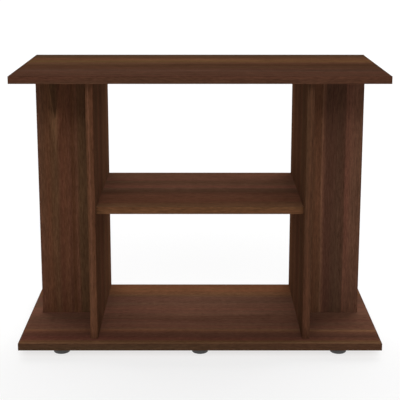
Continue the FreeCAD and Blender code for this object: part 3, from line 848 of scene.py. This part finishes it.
@dataclass(frozen=True)
class FootScrew:
    """A pan-head chipboard screw with a screwdriver's cross, from its head up to its point.

    Attributes:
        dome: How far in from the rim, and how far down, each station of the domed head is.
    """

    head_radius: float = 4.0
    head_height: float = 2.6
    dome: tuple[tuple[float, float], ...] = ((1.5, 0.0), (0.6, 0.35), (0.1, 1.1), (0.0, 1.8))
    shank_radius: float = 2.0
    shank_end: float = 9.6
    core_radius: float = 1.45
    pitch: float = 1.4
    length: float = 21.6
    point: float = 2.0
    point_radius: float = 0.15
    cross_length: float = 4.0
    cross_width: float = 1.0
    cross_depth: float = 1.5

    def model(self) -> bpy.types.Object:
        """Models the screw along +Z, its head's top at the origin."""
        outline = [(self.head_radius - inwards, down) for inwards, down in self.dome]
        outline += [(self.head_radius, self.head_height), (self.shank_radius, self.head_height)]
        outline.append((self.shank_radius, self.shank_end))
        thread_end = self.length - self.point
        outline += ridges(self.shank_end, thread_end, self.pitch, self.core_radius, self.shank_radius)
        outline.append((self.point_radius, self.length))
        screw = turn(outline, sides=32)
        cut_cross(screw, self.cross_length, self.cross_width, self.cross_depth)
        return screw


@dataclass(frozen=True)
class CamDisc:
    """A die-cast cam with a driver's cross, an arrow to its mouth and a round mouth for the bolt's head.

    Attributes:
        waist: How much slimmer it is below its rim.
        mouth_overrun: How far the mouth reaches past the middle.
        arrow_place: How far the arrow is from the middle.
    """

    radius: float = 7.5
    height: float = 11.7
    bevel: float = 0.5
    rim_height: float = 1.6
    waist: float = 0.3
    mouth_radius: float = 3.7
    mouth_height: float = 7.7
    mouth_overrun: float = 3.5
    arrow_radius: float = 1.1
    arrow_depth: float = 0.3
    arrow_place: float = 5.8
    cross_length: float = 9.0
    cross_width: float = 1.6
    cross_depth: float = 1.8

    def model(self) -> bpy.types.Object:
        """Models the cam along +Z, its driven face at the origin and its mouth towards -X."""
        slim = self.radius - self.waist
        outline = [(self.radius - self.bevel, 0.0), (self.radius, self.bevel), (self.radius, self.rim_height)]
        outline += [(slim, self.rim_height + self.waist), (slim, self.height - self.bevel)]
        outline.append((slim - self.bevel, self.height))
        cam = turn(outline, sides=64)
        start, end = -self.radius - CUTTER_MARGIN, self.mouth_overrun
        bpy.ops.mesh.primitive_cylinder_add(
            vertices=48,
            radius=self.mouth_radius * MM,
            depth=(end - start) * MM,
            location=((start + end) / 2 * MM, 0.0, self.mouth_height * MM),
            rotation=(0.0, math.pi / 2, 0.0),
        )
        cut_away(cam, bpy.context.object)
        bpy.ops.mesh.primitive_cylinder_add(
            vertices=3,
            radius=self.arrow_radius * MM,
            depth=2 * self.arrow_depth * MM,
            location=(-self.arrow_place * MM, 0.0, 0.0),
            rotation=(0.0, 0.0, math.pi / 2),
        )
        cut_away(cam, bpy.context.object)
        cut_cross(cam, self.cross_length, self.cross_width, self.cross_depth)
        return cam


@dataclass(frozen=True)
class CamBolt:
    """A turned cam bolt: coarse thread, collar, shank, slim neck and round head.

    Attributes:
        bite: Length that sits in the board.
        runout: How far before the collar the thread stops.
        head_bevel: How far in, and how far up, the bevel of the head's neck side goes.
        head_dome: How far in from the rim, and how far before the end, each station of the head is.
    """

    thread_radius: float = 2.5
    core_radius: float = 2.0
    pitch: float = 1.6
    tip: float = 0.6
    tip_radius: float = 1.5
    bite: float = 11.0
    runout: float = 0.4
    collar_radius: float = 3.6
    collar_height: float = 1.2
    shank_radius: float = 2.9
    neck_radius: float = 1.8
    neck_length: float = 3.5
    neck_slope: float = 0.6
    head_radius: float = 3.4
    head_length: float = 3.5
    head_bevel: tuple[float, float] = (0.2, 0.3)
    head_dome: tuple[tuple[float, float], ...] = ((0.0, 1.0), (0.5, 0.3), (1.4, 0.0))
    collar_bevel: float = 0.2
    length: float = 47.5
    cross_length: float = 3.4
    cross_width: float = 0.8
    cross_depth: float = 1.2

    def model(self) -> bpy.types.Object:
        """Models the bolt along +Z, its thread's end at the origin."""
        collar_end = self.bite + self.collar_height
        head = self.length - self.head_length
        neck = head - self.neck_length
        thread_end = self.bite - self.runout
        bevel_in, bevel_up = self.head_bevel
        outline = [(self.tip_radius, 0.0), (self.core_radius, self.tip)]
        outline += ridges(self.tip, thread_end, self.pitch, self.core_radius, self.thread_radius)
        outline += [(self.core_radius, self.bite), (self.collar_radius - self.collar_bevel, self.bite)]
        outline += [(self.collar_radius, self.bite + self.collar_bevel), (self.collar_radius, collar_end)]
        outline += [(self.shank_radius, collar_end), (self.shank_radius, neck - self.neck_slope)]
        outline += [(self.neck_radius, neck), (self.neck_radius, head)]
        outline += [(self.head_radius - bevel_in, head), (self.head_radius, head + bevel_up)]
        outline += [(self.head_radius - inwards, self.length - down) for inwards, down in self.head_dome]
        bolt = turn(outline, sides=40)
        cut_cross(bolt, self.cross_length, self.cross_width, self.cross_depth, self.length, up=True)
        return bolt


@dataclass(frozen=True)
class BaseScrew:
    """A countersunk furniture screw with a hexagon socket and a coarse thread.

    Attributes:
        head_bevel: How far in, and how far down, the bevel of the head's rim goes.
        point_stations: Radius, and distance before the end, of each station of the point.
    """

    length: float = 50.0
    head_radius: float = 5.0
    head_rim: float = 0.5
    head_cone: float = 2.0
    head_bevel: tuple[float, float] = (0.25, 0.2)
    shank_radius: float = 3.0
    shank_end: float = 16.0
    shank_slope: float = 0.4
    crest_radius: float = 2.4
    core_radius: float = 2.05
    pitch: float = 2.6
    point: float = 3.0
    point_stations: tuple[tuple[float, float], ...] = ((1.2, 1.0), (0.3, 0.0))
    socket_radius: float = 2.3
    socket_depth: float = 3.0

    def model(self) -> bpy.types.Object:
        """Models the screw along +Z, its head's top at the origin."""
        cone = self.head_rim + self.head_cone
        bevel_in, bevel_down = self.head_bevel
        outline = [(self.head_radius - bevel_in, 0.0), (self.head_radius, bevel_down)]
        outline += [(self.head_radius, self.head_rim), (self.shank_radius, cone)]
        outline.append((self.shank_radius, self.shank_end - self.shank_slope))
        thread_end = self.length - self.point
        outline += ridges(self.shank_end, thread_end, self.pitch, self.core_radius, self.crest_radius)
        outline += [(radius, self.length - before) for radius, before in self.point_stations]
        screw = turn(outline, sides=48)
        bpy.ops.mesh.primitive_cylinder_add(
            vertices=6, radius=self.socket_radius * MM, depth=2 * self.socket_depth * MM, location=(0, 0, 0)
        )
        cut_away(screw, bpy.context.object)
        return screw


@dataclass(frozen=True)
class Dowel:
    """A fluted beech dowel with bevelled ends."""

    radius: float = 4.0
    length: float = 30.0
    bevel: float = 1.0

    def model(self) -> bpy.types.Object:
        """Models the dowel along +Z, one end at the origin."""
        slim = self.radius - self.bevel
        outline = [(slim, 0.0), (self.radius, self.bevel)]
        outline += [(self.radius, self.length - self.bevel), (slim, self.length)]
        return turn(outline, sides=48, flutes=True)


@dataclass(frozen=True)
class Seat:
    """How the fittings of one CAD node stand.

    Attributes:
        node: The CAD node that they replace.
        towards: Direction of the fitting's own +Z.
        side: Direction of its own +X.
    """

    node: str
    towards: tuple[float, float, float]
    side: tuple[float, float, float]


class Fittings:
    """One kind of fitting, modelled once and copied to every CAD solid that it replaces."""

    def __init__(
        self,
        kind: Foot | FootScrew | CamDisc | CamBolt | BaseScrew | Dowel,
        finish: bpy.types.Material,
        slot: str,
    ) -> None:
        """Models the fitting.

        Args:
            kind: The fitting's dataclass.
            finish: Its material.
            slot: The record's material slot; not used.
        """
        self.master = kind.model()
        self.master.data.materials.append(finish)
        self.slot = slot

    def fit(self, seat: Seat) -> None:
        """Puts a copy on every solid of a node and joins the copies into one piece that replaces it.

        Args:
            seat: The node, and how its fittings stand.
        """
        towards, side = Vector(seat.towards), Vector(seat.side)
        turned = Matrix((side, towards.cross(side), towards)).transposed().to_4x4()
        bpy.ops.object.select_all(action="DESELECT")
        for low, high in solids(seat.node):
            start = (low + high) / 2
            for axis in range(3):
                if towards[axis]:
                    start[axis] = low[axis] if towards[axis] > 0 else high[axis]
            copy = self.master.copy()
            copy.data = self.master.data.copy()
            bpy.context.scene.collection.objects.link(copy)
            copy.matrix_world = Matrix.Translation(start) @ turned
            copy.select_set(True)
            bpy.context.view_layer.objects.active = copy
        count = len(bpy.context.selected_objects)
        if count > 1:
            bpy.ops.object.join()
        bpy.ops.object.transform_apply(location=True, rotation=True, scale=True)
        piece = bpy.context.object
        piece.name = piece.data.name = f"{seat.node}_detailed"
        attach(piece, BODY)
        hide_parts(seat.node)
        log.info("%s modelled, %d in it", piece.name, count)

    def done(self) -> None:
        """Removes the model that the copies were made from."""
        bpy.data.objects.remove(self.master)


def solids(node: str) -> list[tuple[Vector, Vector]]:
    """Finds the separate solids of a CAD node.

    Args:
        node: Its name.

    Returns:
        The lowest and the highest corner of each, in metres, from left to right.
    """
    mesh = bmesh.new()
    mesh.from_mesh(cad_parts[node].data)
    bmesh.ops.remove_doubles(mesh, verts=mesh.verts, dist=MERGE_WITHIN * MM)
    boxes = []
    waiting = set(mesh.verts)
    while waiting:
        found, newest = set(), {waiting.pop()}
        while newest:
            found |= newest
            newest = {edge.other_vert(point) for point in newest for edge in point.link_edges} - found
        waiting -= found
        places = list(zip(*(point.co for point in found)))
        boxes.append((tuple(min(axis) for axis in places), tuple(max(axis) for axis in places)))
    mesh.free()
    return [(Vector(low), Vector(high)) for low, high in sorted(boxes)]


def fit_all() -> None:
    """Models the feet and every fitting and puts them where their CAD nodes are."""
    up, down, back, front = (0, 0, 1), (0, 0, -1), (0, 1, 0), (0, -1, 0)
    black = MouldedPlastic("black_polypropylene_moulded", "3a3938").material()
    cast = Zinc("zinc_die_cast", "8e8e8c", "b4b4b0", (0.54, 0.3), 2.4, 0.03).material()
    plated = Zinc("steel_zinc_plated", "b4b8bc", "d2d0c6", (0.42, 0.18), 5.0, 0.01).material()
    beech_up = Beech("beech_dowel_upright", Grain.UPRIGHT).material()
    beech_level = Beech("beech_dowel_level", Grain.LEVEL_BOARD).material()
    feet = Fittings(Foot(), black, "foot_plastic")
    for row in ("front", "back"):
        for place in ("left", "middle", "right"):
            feet.fit(Seat(f"{row}_{place}_foot", up, (1, 0, 0)))
    foot_screws = Fittings(FootScrew(), plated, "zinc_plated_steel")
    foot_screws.fit(Seat("foot_screws", up, (1, 0, 0)))
    cams = Fittings(CamDisc(), cast, "zinc_cam")
    bolts = Fittings(CamBolt(), plated, "zinc_plated_steel")
    screws = Fittings(BaseScrew(), plated, "zinc_plated_steel")
    pins_up = Fittings(Dowel(), beech_up, "beech_dowel")
    pins_level = Fittings(Dowel(), beech_level, "beech_dowel")
    for name, outwards, inwards in (("left", (-1, 0, 0), (1, 0, 0)), ("right", (1, 0, 0), (-1, 0, 0))):
        bolts.fit(Seat(f"{name}_top_cam_bolts", down, back))
        bolts.fit(Seat(f"{name}_wing_cam_bolts", outwards, up))
        bolts.fit(Seat(f"{name}_shelf_cam_bolts", inwards, up))
        cams.fit(Seat(f"{name}_upright_cam_discs", inwards, down))
        cams.fit(Seat(f"{name}_wing_top_cam_disc", front, down))
        cams.fit(Seat(f"{name}_wing_cam_discs", front, outwards))
        cams.fit(Seat(f"{name}_shelf_cam_discs", up, inwards))
        screws.fit(Seat(f"{name}_base_screws", up, back))
        pins_up.fit(Seat(f"{name}_top_dowels", up, back))
        pins_up.fit(Seat(f"{name}_base_dowels", up, back))
        pins_level.fit(Seat(f"{name}_wing_dowels", inwards, up))
        pins_level.fit(Seat(f"{name}_shelf_dowels", inwards, up))
    for kind in (feet, foot_screws, cams, bolts, screws, pins_up, pins_level):
        kind.done()


# ---------------------------------------------------------------- stage


@dataclass(frozen=True)
class Lamp:
    """A round lamp far from the stand, brightest in its middle and fading to its rim.

    Attributes:
        towards: Direction in which it stands.
        spread: Half the angle that it fills, in degrees.
        strength: Brightness of its middle, where the lit floor's is about 1.
    """

    towards: tuple[float, float, float]
    spread: float
    strength: float


@dataclass
class Studio:
    """A lit white floor, large soft lamps, a smaller one in front, and a camera.

    The smaller lamp draws the edge of the top board's shadow on the wings.

    Attributes:
        floor_radius: Of the floor, in metres.
        floor_colour: sRGB colour of the floor with no light behind it.
        floor_glow: Brightness of the light behind the floor.
        focal_length: Of the lens on a 36 mm sensor.
        distance: From the camera to the front of the boards.
        height: Of the camera over the floor.
        pitch: How far the camera looks down, in degrees.
        shift: Vertical lens shift, as a share of the picture.
        backdrop: Brightness of the white background that the camera sees.
        ambient: Brightness of the light from everywhere.
        lamps: The lamps.
    """

    floor_radius: float = 40.0
    floor_colour: str = "949494"
    floor_glow: float = 0.72
    focal_length: float = 94.79
    distance: float = 2173.7
    height: float = 913.4
    pitch: float = 12.173
    shift: float = -0.10
    backdrop: float = 1.1
    ambient: float = 0.05
    lamps: tuple[Lamp, ...] = (
        Lamp((0.0, 1.0, 1.0), 40.0, 2.3),
        Lamp((0.0, -1.0, 1.0), 40.0, 1.7),
        Lamp((0.0, -1.0, 0.55), 10.0, 12.5),
        Lamp((1.0, 1.0, 0.6), 40.0, 2.4),
        Lamp((-1.0, 1.0, 0.6), 40.0, 1.6),
    )

    def build(self) -> None:
        """Makes the floor, the light and the camera."""
        self.lay_floor()
        self.hang_lamps()
        self.place_camera()
        bpy.context.scene.view_settings.view_transform = "Standard"
        log.info("studio ready")

    def lay_floor(self) -> None:
        """Lays a round floor of lit acrylic under the feet."""
        bpy.ops.object.select_all(action="DESELECT")
        bpy.ops.mesh.primitive_circle_add(
            vertices=96, radius=self.floor_radius, fill_type="NGON", location=(0, 0, 0)
        )
        floor = bpy.context.object
        floor.name = "studio_floor"
        acrylic = LitAcrylic("opal_acrylic_lit", self.floor_colour, self.floor_glow)
        floor.data.materials.append(acrylic.material())
        floor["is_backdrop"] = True

    def hang_lamps(self) -> None:
        """Lights the stand from all round and from each lamp, in front of a white background."""
        world = bpy.data.worlds.new("studio_light")
        bpy.context.scene.world = world
        world.use_nodes = True
        tree = world.node_tree
        tree.nodes.clear()
        towards = add_node(tree, "TexCoord").outputs["Generated"]
        total = self.ambient
        for lamp in self.lamps:
            middle = Vector(lamp.towards).normalized()
            facing = add_node(tree, "VectorMath", {0: towards, 1: middle}, operation="DOT_PRODUCT")
            fade = {
                "Value": facing.outputs["Value"],
                "From Min": math.cos(math.radians(lamp.spread)),
                "From Max": 1.0,
                "To Max": lamp.strength,
            }
            glow = add_node(tree, "MapRange", fade, interpolation_type="SMOOTHSTEP").outputs[0]
            total = add_node(tree, "Math", {0: total, 1: glow}, operation="ADD").outputs[0]
        light = add_node(tree, "Background", {"Color": WHITE, "Strength": total})
        backdrop = add_node(tree, "Background", {"Color": WHITE, "Strength": self.backdrop})
        seen = add_node(tree, "LightPath").outputs["Is Camera Ray"]
        mix = add_node(tree, "MixShader", {0: seen, 1: light.outputs[0], 2: backdrop.outputs[0]})
        add_node(tree, "OutputWorld", {0: mix.outputs[0]})

    def place_camera(self) -> None:
        """Stands the camera in front, a little above the top board, looking slightly down."""
        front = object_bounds()[0].y
        lens = bpy.data.cameras.new("camera")
        lens.sensor_width = 36.0
        lens.lens = self.focal_length
        lens.shift_y = self.shift
        lens.clip_end = 200.0
        camera = bpy.data.objects.new("camera", lens)
        bpy.context.scene.collection.objects.link(camera)
        camera.location = (0.0, front - self.distance * MM, self.height * MM)
        camera.rotation_euler = (math.radians(90.0 - self.pitch), 0.0, 0.0)
        bpy.context.scene.camera = camera


TOP_STRIPES = (
    (-195, "4a3125"), (-150, "4c3125"), (-100, "4e3529"), (-60, "4a3123"), (-20, "482f21"),
    (10, "523727"), (30, "583929"), (60, "5c4029"), (110, "5c3b29"), (140, "503626"),
    (180, "4a3628"),
)
BASE_STRIPES = (
    # the first stop, lighter right at the front edge, is a painted highlight along that edge
    (-196, "78533c"), (-188, "6a4731"), (-175, "623e30"), (-160, "58372c"), (-141, "58382c"),
    (-127, "684332"), (-120, "704b36"), (-110, "684536"), (-80, "634335"), (-60, "624033"),
    (-40, "624334"), (0, "674537"), (20, "684637"), (50, "624335"), (70, "5d3f32"),
    (100, "5f4033"), (120, "62432f"), (140, "6a4630"), (160, "6e4830"), (190, "66422e"),
)
SHELF_STRIPES = (
    # the first stop, lighter at the front edge, is a painted highlight along that edge
    (-130, "704e38"), (-100, "644230"), (-80, "624030"), (-60, "644230"), (-45, "664232"),
    (-20, "5c3e2e"), (-5, "563a2c"), (15, "52382a"), (30, "5e4032"), (45, "644234"),
    (60, "624032"), (80, "5a3c2e"), (100, "563a2c"), (130, "5c3c2f"), (170, "5c3e2f"),
)
LEFT_WING_STRIPES = (
    (-372, "5c3a2c"), (-350, "5e3c2a"), (-340, "583a28"), (-330, "5a3c2a"), (-320, "583828"),
    (-310, "5c3c2a"), (-300, "583a2a"), (-292, "543624"), (-285, "5e3c2c"), (-278, "543a28"),
    # the last stop, darker where the wing meets the upright, is painted shade
    (-245, "4e3424"),
)
RIGHT_WING_STRIPES = (
    (245, "5e3e2e"), (266, "62402e"), (280, "5e3c2b"), (283, "704c3a"), (286, "623f30"),
    (291, "52362a"), (333, "50372a"), (336, "614032"), (372, "5e3e30"),
)
UPRIGHT_STRIPES = (
    (-170, "5e3e2c"), (-110, "563a2a"), (-60, "624230"), (0, "583a2a"), (50, "5e402e"),
    (100, "563828"), (170, "5c3e2c"),
)
PAINTED_HIGHLIGHT_EDGES = (6.0, 8.5, 11.0)  # where the painted highlight, a lighter stripe in an upright's band, starts, is brightest and ends


def upright(side: str, seed: float, band: str, painted_highlight: str) -> Board:
    """One upright, whose front and back bands carry a lighter stripe: a painted highlight.

    Args:
        side: "left" or "right".
        seed: Of its finer print.
        band: Colour of its bands.
        painted_highlight: Colour of the lighter stripe in the bands, a painted highlight.

    Returns:
        The board.
    """
    node = f"{side}_upright"
    inner, outer = sorted(reach(node, 0), key=abs)
    outwards = math.copysign(1.0, outer)
    # the lighter stripe in the middle of each band is a painted highlight
    start, middle, end = (inner + outwards * step for step in PAINTED_HIGHLIGHT_EDGES)
    stripes = tuple(sorted([(inner, band), (start, band), (middle, painted_highlight), (end, band), (outer, band)]))
    edges = {f"{node}_{face}_edge_band": (Grain.WING, stripes) for face in ("front", "back")}
    return Board(node, Grain.UPRIGHT, UPRIGHT_STRIPES, seed, edges)


def boards() -> list[Board]:
    """The seven boards, each with the stripes of its own print."""
    left_flames = (
        Flame(-331, 418, 5.3, 26, 0.35, length=88.0, softness=10.0),
        Flame(-331, 440, 7.0, 14, 0.2, length=66.0, softness=10.0),
        Flame(-331, 476, 6.5, 22, 0.16, softness=8.0),
        Flame(-331, 492, 6.3, 18, -0.38, softness=8.0),
    )
    top_flames = (
        Flame(0, -260, 16.0, 34, -0.2, length=900.0, softness=120.0),
        Flame(90, -420, 12.0, 40, 0.16, length=560.0, softness=120.0),
        Flame(-95, 20, 12.0, 30, -0.16, length=900.0, softness=120.0),
    )
    base_flames = (
        Flame(-45, -330, 14.0, 40, -0.12, length=500.0, softness=120.0),
        Flame(-122, 180, 30.0, 16, 0.3, length=900.0, softness=80.0),
    )
    top_bands = level_bands("top", "4e3225", "503426", "503426")
    base_bands = level_bands("base", "4a3224", "4e3427", "4e3427")
    shelf_bands = {
        f"shelf_{side}_edge_band": (Grain.FRONT_EDGE, plain(f"shelf_{side}_edge_band", 2, colour))
        for side, colour in (("front", "613f2a"), ("back", "5a3c2a"))
    }
    left_bands, right_bands = (
        {band: (Grain.UPRIGHT, plain(band, 1, "5a3828"))}
        for band in ("left_wing_edge_band", "right_wing_edge_band")
    )
    return [
        Board("top_board", Grain.LEVEL_BOARD, TOP_STRIPES, 1.0, top_bands, top_flames),
        Board("base_board", Grain.LEVEL_BOARD, BASE_STRIPES, 2.0, base_bands, base_flames),
        Board("middle_shelf", Grain.LEVEL_BOARD, SHELF_STRIPES, 3.0, shelf_bands),
        upright("left", 4.0, "573827", "664231"),
        upright("right", 5.0, "4a3022", "563828"),
        Board("left_wing_panel", Grain.WING, LEFT_WING_STRIPES, 6.0, left_bands, left_flames),
        Board("right_wing_panel", Grain.WING, RIGHT_WING_STRIPES, 7.0, right_bands),
    ]


def main() -> None:
    """Builds everything in order and reports each piece."""
    logging.basicConfig(level=logging.INFO, format="%(message)s")
    for board in boards():
        board.dress()
    fit_all()
    Studio().build()


if __name__ == "__main__":
    main()
